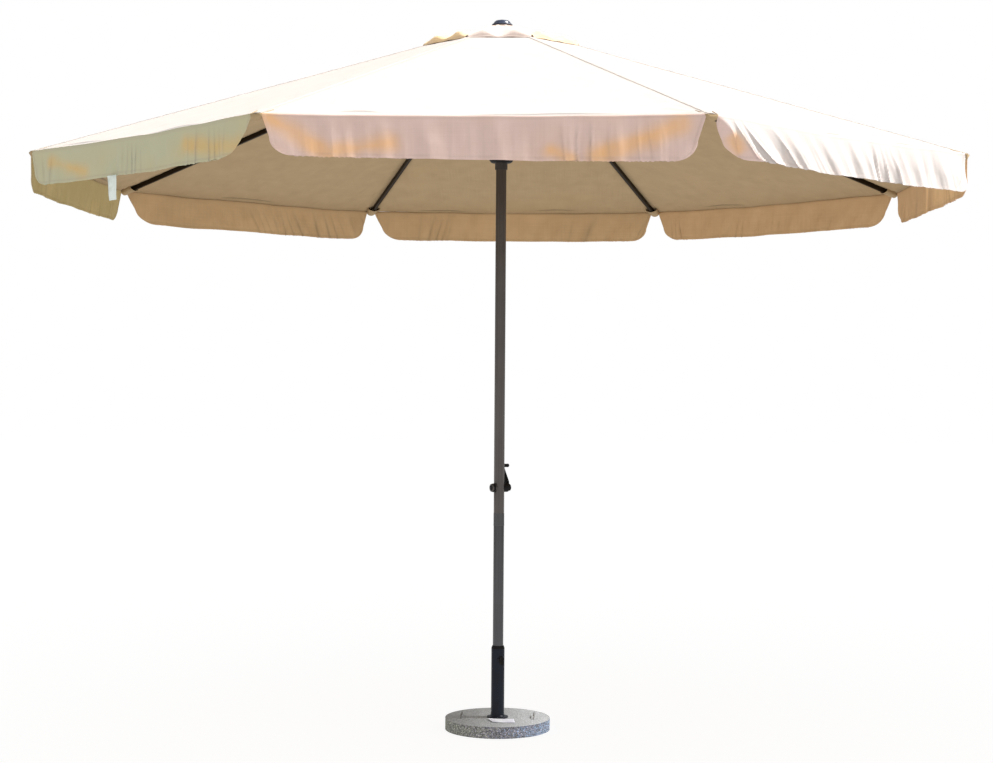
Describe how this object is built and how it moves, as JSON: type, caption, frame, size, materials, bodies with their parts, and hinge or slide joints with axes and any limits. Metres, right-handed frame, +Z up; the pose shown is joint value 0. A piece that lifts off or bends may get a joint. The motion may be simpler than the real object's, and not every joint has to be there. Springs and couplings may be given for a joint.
{
  "type": "patio umbrella with base",
  "caption": "Octagonal crank umbrella: sloping canopy with scalloped valance and vent cap, folding ribs and struts, two-part mast, clamp tube on a round cast base.",
  "frame": {"origin": "on the ground, on the mast axis, under the middle of the cast disc", "axes": "+Z up along the mast, -Y to the front, the crank arm on the +X side"},
  "size_m": [3.2366, 3.2366, 2.703],
  "materials": {
    "stone": "cast stone aggregate, smooth top",
    "tube_steel": "satin powder coat",
    "plated_steel": "zinc plated",
    "black_plastic": "moulded",
    "mast_paint": "dark bronze powder coat",
    "collar": "moulded",
    "finial_plastic": "moulded",
    "rib_paint": "dark bronze powder coat",
    "canopy_fabric": "woven"
  },
  "bodies": {
    "base": {"base_disc": "stone", "base_tube": "tube_steel", "base_bolt": "plated_steel", "base_washer": "plated_steel", "base_nut": "plated_steel", "grip_left": "tube_steel", "grip_right": "tube_steel", "tube_bush": "black_plastic"},
    "clamp_shank": {"clamp_shank": "plated_steel"},
    "clamp_knob": {"clamp_knob": "black_plastic"},
    "lower_mast": {"mast_foot": "black_plastic", "lower_mast": "mast_paint", "mast_spigot": "plated_steel"},
    "upper_mast": {"mast_collar": "collar", "upper_mast": "mast_paint", "crank_bearing_left": "black_plastic", "crank_bearing_right": "black_plastic", "top_hub": "black_plastic", "hub_wire": "plated_steel", "cap_washer": "black_plastic", "vent_cap": "canopy_fabric", "finial": "finial_plastic"},
    "crank": {"crank_axle": "plated_steel", "crank_arm": "black_plastic"},
    "crank_knob": {"crank_knob": "black_plastic"},
    "cord_pulley": {"cord_pulley": "black_plastic"},
    "runner": {"runner": "black_plastic", "runner_flange": "black_plastic"},
    "rib_1": {"rib_1": "rib_paint"},
    "strut_1": {"strut_1": "rib_paint"},
    "panel_1": {"panel_1": "canopy_fabric"},
    "valance_1": {"valance_1": "canopy_fabric"},
    "rib_2": {"rib_2": "rib_paint"},
    "strut_2": {"strut_2": "rib_paint"},
    "panel_2": {"panel_2": "canopy_fabric"},
    "valance_2": {"valance_2": "canopy_fabric"},
    "rib_3": {"rib_3": "rib_paint"},
    "strut_3": {"strut_3": "rib_paint"},
    "panel_3": {"panel_3": "canopy_fabric"},
    "valance_3": {"valance_3": "canopy_fabric"},
    "rib_4": {"rib_4": "rib_paint"},
    "strut_4": {"strut_4": "rib_paint"},
    "panel_4": {"panel_4": "canopy_fabric"},
    "valance_4": {"valance_4": "canopy_fabric"},
    "rib_5": {"rib_5": "rib_paint"},
    "strut_5": {"strut_5": "rib_paint"},
    "panel_5": {"panel_5": "canopy_fabric"},
    "valance_5": {"valance_5": "canopy_fabric"},
    "rib_6": {"rib_6": "rib_paint"},
    "strut_6": {"strut_6": "rib_paint"},
    "panel_6": {"panel_6": "canopy_fabric"},
    "valance_6": {"valance_6": "canopy_fabric"},
    "rib_7": {"rib_7": "rib_paint"},
    "strut_7": {"strut_7": "rib_paint"},
    "panel_7": {"panel_7": "canopy_fabric"},
    "valance_7": {"valance_7": "canopy_fabric"},
    "rib_8": {"rib_8": "rib_paint"},
    "strut_8": {"strut_8": "rib_paint"},
    "panel_8": {"panel_8": "canopy_fabric"},
    "valance_8": {"valance_8": "canopy_fabric"}
  },
  "joints": [
    {"name": "mast_swivel", "type": "hinge", "parent": "base", "child": "lower_mast", "pos_m": [0, 0, 0.3], "axis": [0, 0, 1], "continuous": true},
    {"name": "mast_takedown", "type": "slide", "parent": "lower_mast", "child": "upper_mast", "axis": [0, 0, 1], "range_m": [0, 0.12]},
    {"name": "clamp_advance", "type": "slide", "parent": "base", "child": "clamp_shank", "axis": [0.342, -0.9397, 0], "range_m": [0, 0.006]},
    {"name": "clamp_turn", "type": "hinge", "parent": "clamp_shank", "child": "clamp_knob", "pos_m": [0, 0, 0.266], "axis": [0.342, -0.9397, 0], "range_deg": [0, 1440]},
    {"name": "runner_slide", "type": "slide", "parent": "upper_mast", "child": "runner", "axis": [0, 0, -1], "range_m": [0, 0.9464]},
    {"name": "crank_turn", "type": "hinge", "parent": "upper_mast", "child": "crank", "pos_m": [0, 0, 0.92], "axis": [0.848, 0.5299, 0], "range_deg": [0, 3601]},
    {"name": "crank_knob_spin", "type": "hinge", "parent": "crank", "child": "crank_knob", "pos_m": [-0.00937, 0.01499, 1.00314], "axis": [0.848, 0.5299, 0], "continuous": true},
    {"name": "pulley_spin", "type": "hinge", "parent": "upper_mast", "child": "cord_pulley", "pos_m": [0, 0, 2.631], "axis": [1, 0, 0], "range_deg": [0, 4519.73]},
    {"name": "rib_1_hinge", "type": "hinge", "parent": "upper_mast", "child": "rib_1", "pos_m": [-0.02066, -0.04989, 2.655], "axis": [0.9239, -0.3827, 0], "range_deg": [0, 67.01]},
    {"name": "strut_1_hinge", "type": "hinge", "parent": "rib_1", "child": "strut_1", "pos_m": [-0.27706, -0.66889, 2.41943], "axis": [-0.9239, 0.3827, 0], "range_deg": [0, 134.02]},
    {"name": "panel_1_fold", "type": "hinge", "parent": "upper_mast", "child": "panel_1", "pos_m": [0, -0.04989, 2.655], "axis": [1, 0, 0], "range_deg": [0, 66.02], "deforming": ["panel_1"]},
    {"name": "valance_1_hang", "type": "hinge", "parent": "panel_1", "child": "valance_1", "pos_m": [0, -1.61679, 2.11507], "axis": [-1, 0, 0], "range_deg": [0, 66.02], "deforming": ["valance_1"]},
    {"name": "rib_2_hinge", "type": "hinge", "parent": "upper_mast", "child": "rib_2", "pos_m": [0.02066, -0.04989, 2.655], "axis": [0.9239, 0.3827, 0], "range_deg": [0, 67.01]},
    {"name": "strut_2_hinge", "type": "hinge", "parent": "rib_2", "child": "strut_2", "pos_m": [0.27706, -0.66889, 2.41943], "axis": [-0.9239, -0.3827, 0], "range_deg": [0, 134.02]},
    {"name": "panel_2_fold", "type": "hinge", "parent": "upper_mast", "child": "panel_2", "pos_m": [0.03528, -0.03528, 2.655], "axis": [0.7071, 0.7071, 0], "range_deg": [0, 66.02], "deforming": ["panel_2"]},
    {"name": "valance_2_hang", "type": "hinge", "parent": "panel_2", "child": "valance_2", "pos_m": [1.14324, -1.14324, 2.11507], "axis": [-0.7071, -0.7071, 0], "range_deg": [0, 66.02], "deforming": ["valance_2"]},
    {"name": "rib_3_hinge", "type": "hinge", "parent": "upper_mast", "child": "rib_3", "pos_m": [0.04989, -0.02066, 2.655], "axis": [0.3827, 0.9239, 0], "range_deg": [0, 67.01]},
    {"name": "strut_3_hinge", "type": "hinge", "parent": "rib_3", "child": "strut_3", "pos_m": [0.66889, -0.27706, 2.41943], "axis": [-0.3827, -0.9239, 0], "range_deg": [0, 134.02]},
    {"name": "panel_3_fold", "type": "hinge", "parent": "upper_mast", "child": "panel_3", "pos_m": [0.04989, 0, 2.655], "axis": [0, 1, 0], "range_deg": [0, 66.02], "deforming": ["panel_3"]},
    {"name": "valance_3_hang", "type": "hinge", "parent": "panel_3", "child": "valance_3", "pos_m": [1.61679, 0, 2.11507], "axis": [0, -1, 0], "range_deg": [0, 66.02], "deforming": ["valance_3"]},
    {"name": "rib_4_hinge", "type": "hinge", "parent": "upper_mast", "child": "rib_4", "pos_m": [0.04989, 0.02066, 2.655], "axis": [-0.3827, 0.9239, 0], "range_deg": [0, 67.01]},
    {"name": "strut_4_hinge", "type": "hinge", "parent": "rib_4", "child": "strut_4", "pos_m": [0.66889, 0.27706, 2.41943], "axis": [0.3827, -0.9239, 0], "range_deg": [0, 134.02]},
    {"name": "panel_4_fold", "type": "hinge", "parent": "upper_mast", "child": "panel_4", "pos_m": [0.03528, 0.03528, 2.655], "axis": [-0.7071, 0.7071, 0], "range_deg": [0, 66.02], "deforming": ["panel_4"]},
    {"name": "valance_4_hang", "type": "hinge", "parent": "panel_4", "child": "valance_4", "pos_m": [1.14324, 1.14324, 2.11507], "axis": [0.7071, -0.7071, 0], "range_deg": [0, 66.02], "deforming": ["valance_4"]},
    {"name": "rib_5_hinge", "type": "hinge", "parent": "upper_mast", "child": "rib_5", "pos_m": [0.02066, 0.04989, 2.655], "axis": [-0.9239, 0.3827, 0], "range_deg": [0, 67.01]},
    {"name": "strut_5_hinge", "type": "hinge", "parent": "rib_5", "child": "strut_5", "pos_m": [0.27706, 0.66889, 2.41943], "axis": [0.9239, -0.3827, 0], "range_deg": [0, 134.02]},
    {"name": "panel_5_fold", "type": "hinge", "parent": "upper_mast", "child": "panel_5", "pos_m": [0, 0.04989, 2.655], "axis": [-1, 0, 0], "range_deg": [0, 66.02], "deforming": ["panel_5"]},
    {"name": "valance_5_hang", "type": "hinge", "parent": "panel_5", "child": "valance_5", "pos_m": [0, 1.61679, 2.11507], "axis": [1, 0, 0], "range_deg": [0, 66.02], "deforming": ["valance_5"]},
    {"name": "rib_6_hinge", "type": "hinge", "parent": "upper_mast", "child": "rib_6", "pos_m": [-0.02066, 0.04989, 2.655], "axis": [-0.9239, -0.3827, 0], "range_deg": [0, 67.01]},
    {"name": "strut_6_hinge", "type": "hinge", "parent": "rib_6", "child": "strut_6", "pos_m": [-0.27706, 0.66889, 2.41943], "axis": [0.9239, 0.3827, 0], "range_deg": [0, 134.02]},
    {"name": "panel_6_fold", "type": "hinge", "parent": "upper_mast", "child": "panel_6", "pos_m": [-0.03528, 0.03528, 2.655], "axis": [-0.7071, -0.7071, 0], "range_deg": [0, 66.02], "deforming": ["panel_6"]},
    {"name": "valance_6_hang", "type": "hinge", "parent": "panel_6", "child": "valance_6", "pos_m": [-1.14324, 1.14324, 2.11507], "axis": [0.7071, 0.7071, 0], "range_deg": [0, 66.02], "deforming": ["valance_6"]},
    {"name": "rib_7_hinge", "type": "hinge", "parent": "upper_mast", "child": "rib_7", "pos_m": [-0.04989, 0.02066, 2.655], "axis": [-0.3827, -0.9239, 0], "range_deg": [0, 67.01]},
    {"name": "strut_7_hinge", "type": "hinge", "parent": "rib_7", "child": "strut_7", "pos_m": [-0.66889, 0.27706, 2.41943], "axis": [0.3827, 0.9239, 0], "range_deg": [0, 134.02]},
    {"name": "panel_7_fold", "type": "hinge", "parent": "upper_mast", "child": "panel_7", "pos_m": [-0.04989, 0, 2.655], "axis": [0, -1, 0], "range_deg": [0, 66.02], "deforming": ["panel_7"]},
    {"name": "valance_7_hang", "type": "hinge", "parent": "panel_7", "child": "valance_7", "pos_m": [-1.61679, 0, 2.11507], "axis": [0, 1, 0], "range_deg": [0, 66.02], "deforming": ["valance_7"]},
    {"name": "rib_8_hinge", "type": "hinge", "parent": "upper_mast", "child": "rib_8", "pos_m": [-0.04989, -0.02066, 2.655], "axis": [0.3827, -0.9239, 0], "range_deg": [0, 67.01]},
    {"name": "strut_8_hinge", "type": "hinge", "parent": "rib_8", "child": "strut_8", "pos_m": [-0.66889, -0.27706, 2.41943], "axis": [-0.3827, 0.9239, 0], "range_deg": [0, 134.02]},
    {"name": "panel_8_fold", "type": "hinge", "parent": "upper_mast", "child": "panel_8", "pos_m": [-0.03528, -0.03528, 2.655], "axis": [0.7071, -0.7071, 0], "range_deg": [0, 66.02], "deforming": ["panel_8"]},
    {"name": "valance_8_hang", "type": "hinge", "parent": "panel_8", "child": "valance_8", "pos_m": [-1.14324, -1.14324, 2.11507], "axis": [-0.7071, 0.7071, 0], "range_deg": [0, 66.02], "deforming": ["valance_8"]}
  ],
  "couplings": [
    {"joint": "clamp_advance", "follows": "clamp_turn", "m_per_rad": 0.00023873},
    {"joint": "crank_turn", "follows": "runner_slide", "rad_per_m": 66.39},
    {"joint": "pulley_spin", "follows": "runner_slide", "rad_per_m": 83.333},
    {"joint": "rib_1_hinge", "follows": "runner_slide", "rad_per_m": 1.2356},
    {"joint": "strut_1_hinge", "follows": "runner_slide", "rad_per_m": 2.4712},
    {"joint": "panel_1_fold", "follows": "runner_slide", "rad_per_m": 1.2172},
    {"joint": "valance_1_hang", "follows": "runner_slide", "rad_per_m": 1.2172},
    {"joint": "rib_2_hinge", "follows": "runner_slide", "rad_per_m": 1.2356},
    {"joint": "strut_2_hinge", "follows": "runner_slide", "rad_per_m": 2.4712},
    {"joint": "panel_2_fold", "follows": "runner_slide", "rad_per_m": 1.2172},
    {"joint": "valance_2_hang", "follows": "runner_slide", "rad_per_m": 1.2172},
    {"joint": "rib_3_hinge", "follows": "runner_slide", "rad_per_m": 1.2356},
    {"joint": "strut_3_hinge", "follows": "runner_slide", "rad_per_m": 2.4712},
    {"joint": "panel_3_fold", "follows": "runner_slide", "rad_per_m": 1.2172},
    {"joint": "valance_3_hang", "follows": "runner_slide", "rad_per_m": 1.2172},
    {"joint": "rib_4_hinge", "follows": "runner_slide", "rad_per_m": 1.2356},
    {"joint": "strut_4_hinge", "follows": "runner_slide", "rad_per_m": 2.4712},
    {"joint": "panel_4_fold", "follows": "runner_slide", "rad_per_m": 1.2172},
    {"joint": "valance_4_hang", "follows": "runner_slide", "rad_per_m": 1.2172},
    {"joint": "rib_5_hinge", "follows": "runner_slide", "rad_per_m": 1.2356},
    {"joint": "strut_5_hinge", "follows": "runner_slide", "rad_per_m": 2.4712},
    {"joint": "panel_5_fold", "follows": "runner_slide", "rad_per_m": 1.2172},
    {"joint": "valance_5_hang", "follows": "runner_slide", "rad_per_m": 1.2172},
    {"joint": "rib_6_hinge", "follows": "runner_slide", "rad_per_m": 1.2356},
    {"joint": "strut_6_hinge", "follows": "runner_slide", "rad_per_m": 2.4712},
    {"joint": "panel_6_fold", "follows": "runner_slide", "rad_per_m": 1.2172},
    {"joint": "valance_6_hang", "follows": "runner_slide", "rad_per_m": 1.2172},
    {"joint": "rib_7_hinge", "follows": "runner_slide", "rad_per_m": 1.2356},
    {"joint": "strut_7_hinge", "follows": "runner_slide", "rad_per_m": 2.4712},
    {"joint": "panel_7_fold", "follows": "runner_slide", "rad_per_m": 1.2172},
    {"joint": "valance_7_hang", "follows": "runner_slide", "rad_per_m": 1.2172},
    {"joint": "rib_8_hinge", "follows": "runner_slide", "rad_per_m": 1.2356},
    {"joint": "strut_8_hinge", "follows": "runner_slide", "rad_per_m": 2.4712},
    {"joint": "panel_8_fold", "follows": "runner_slide", "rad_per_m": 1.2172},
    {"joint": "valance_8_hang", "follows": "runner_slide", "rad_per_m": 1.2172}
  ]
}
